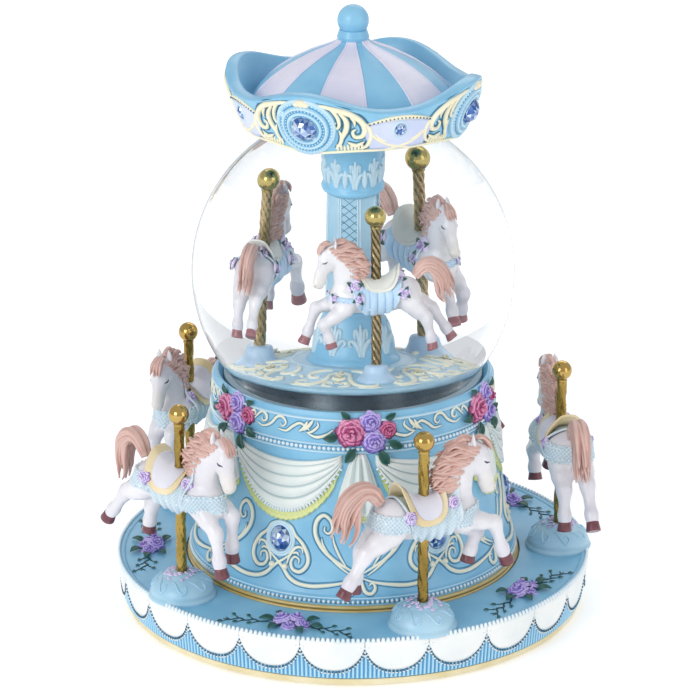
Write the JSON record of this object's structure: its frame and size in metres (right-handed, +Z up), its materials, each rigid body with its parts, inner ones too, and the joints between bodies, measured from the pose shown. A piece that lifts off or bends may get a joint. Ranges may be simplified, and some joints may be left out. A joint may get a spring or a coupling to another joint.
{
  "type": "carousel music box",
  "caption": "Wind-up music box: a liquid-filled glass globe with a small carousel inside, on a fixed drum with a turning ring of horses round it and a canopy on top.",
  "frame": {"origin": "centre of the round foot, on the surface that it stands on", "axes": "+Z up through the finial; -Y towards the front"},
  "size_m": [0.1533, 0.1546, 0.1919],
  "materials": {
    "cream_resin": "hand-painted cast resin, satin",
    "blue_resin": "hand-painted cast resin, satin, pale sky blue with darker hollows",
    "pearl_resin": "hand-painted cast resin, pearly white with lilac shade",
    "rose_resin": "hand-painted cast resin roses, pink and lilac with dark green leaves",
    "lilac_resin": "hand-painted cast resin roses, lilac with dark green leaves",
    "gold_metal": "polished gold plate",
    "brass": "machined brass",
    "steel": "bright steel",
    "spring_steel": "blued spring steel",
    "nylon": "moulded nylon",
    "magnet": "sintered magnet disc in a black case",
    "felt": "soft felt ring",
    "rubber": "moulded rubber",
    "clear_glass": "clear blown glass",
    "blue_stone": "faceted glass stone"
  },
  "bodies": {
    "base": {"base_tray": "cream_resin", "foot_pad": "felt", "glide_ring": "nylon", "deck_plate": "steel", "frame_screws": "steel", "idler_studs": "steel", "shaft_bushes": "brass", "movement_frame": "brass", "tone_comb": "steel", "drum_shell": "blue_resin", "drum_foot_ring": "gold_metal", "drum_jewels": "blue_stone", "drum_roses": "rose_resin", "globe_seat": "rubber", "neck_plug": "rubber", "plug_clamp_ring": "steel", "glass_globe": "clear_glass", "pivot_pin": "steel", "canopy": "blue_resin", "canopy_finial": "blue_resin", "canopy_large_jewels": "blue_stone", "canopy_small_jewels": "blue_stone"},
    "outer_carousel": {"ring_platform": "blue_resin", "ring_gear": "nylon", "ring_gear_screws": "steel", "pole_mounts": "blue_resin", "platform_roses": "lilac_resin", "outer_pole_1": "gold_metal", "outer_pole_2": "gold_metal", "outer_pole_3": "gold_metal", "outer_pole_4": "gold_metal", "outer_pole_5": "gold_metal", "outer_horse_1": "pearl_resin", "outer_horse_2": "pearl_resin", "outer_horse_3": "pearl_resin", "outer_horse_4": "pearl_resin", "outer_horse_5": "pearl_resin"},
    "inner_carousel": {"turntable_floor": "blue_resin", "center_column": "blue_resin", "follower_magnet": "steel", "inner_pole_1": "gold_metal", "inner_pole_2": "gold_metal", "inner_pole_3": "gold_metal", "inner_horse_1": "pearl_resin", "inner_horse_2": "pearl_resin", "inner_horse_3": "pearl_resin"},
    "center_drive": {"center_shaft": "steel", "sun_gear": "brass", "center_gear": "brass", "drive_magnet": "magnet"},
    "idler_1": {"idler_gear_1": "nylon"},
    "idler_2": {"idler_gear_2": "nylon"},
    "idler_3": {"idler_gear_3": "nylon"},
    "spring_drive": {"spring_barrel": "brass", "mainspring": "spring_steel"},
    "cylinder_drive": {"music_cylinder": "brass"},
    "air_brake": {"governor_fly": "steel"},
    "key": {"winding_key": "brass", "spring_arbor": "steel"}
  },
  "joints": [
    {"name": "outer_spin", "type": "hinge", "parent": "base", "child": "outer_carousel", "pos_m": [0, 0, 0.0143], "axis": [0, 0, 1], "continuous": true},
    {"name": "inner_spin", "type": "hinge", "parent": "base", "child": "inner_carousel", "pos_m": [0, 0, 0.0755], "axis": [0, 0, 1], "continuous": true},
    {"name": "drive_spin", "type": "hinge", "parent": "base", "child": "center_drive", "pos_m": [0, 0, 0.0115], "axis": [0, 0, 1], "continuous": true},
    {"name": "idler_1_spin", "type": "hinge", "parent": "base", "child": "idler_1", "pos_m": [0, -0.03, 0.0115], "axis": [0, 0, 1], "continuous": true},
    {"name": "idler_2_spin", "type": "hinge", "parent": "base", "child": "idler_2", "pos_m": [0.02598, 0.015, 0.0115], "axis": [0, 0, 1], "continuous": true},
    {"name": "idler_3_spin", "type": "hinge", "parent": "base", "child": "idler_3", "pos_m": [-0.02598, 0.015, 0.0115], "axis": [0, 0, 1], "continuous": true},
    {"name": "barrel_spin", "type": "hinge", "parent": "base", "child": "spring_drive", "pos_m": [0, 0.027, 0.02], "axis": [0, 0, 1], "continuous": true},
    {"name": "cylinder_spin", "type": "hinge", "parent": "base", "child": "cylinder_drive", "pos_m": [0, 0.027, 0.0346], "axis": [0.8, -0.6, 0], "continuous": true},
    {"name": "governor_spin", "type": "hinge", "parent": "base", "child": "air_brake", "pos_m": [0, 0.027, 0.0466], "axis": [0.8, -0.6, 0], "continuous": true},
    {"name": "key_spin", "type": "hinge", "parent": "base", "child": "key", "pos_m": [0, 0.027, 0.006], "axis": [0, 0, 1], "continuous": true}
  ],
  "couplings": [
    {"joint": "inner_spin", "follows": "outer_spin", "ratio": -4},
    {"joint": "drive_spin", "follows": "outer_spin", "ratio": -4},
    {"joint": "idler_1_spin", "follows": "outer_spin", "ratio": 2.6667},
    {"joint": "idler_2_spin", "follows": "outer_spin", "ratio": 2.6667},
    {"joint": "idler_3_spin", "follows": "outer_spin", "ratio": 2.6667},
    {"joint": "barrel_spin", "follows": "outer_spin", "ratio": 4},
    {"joint": "cylinder_spin", "follows": "outer_spin", "ratio": 12},
    {"joint": "governor_spin", "follows": "outer_spin", "ratio": -36}
  ]
}
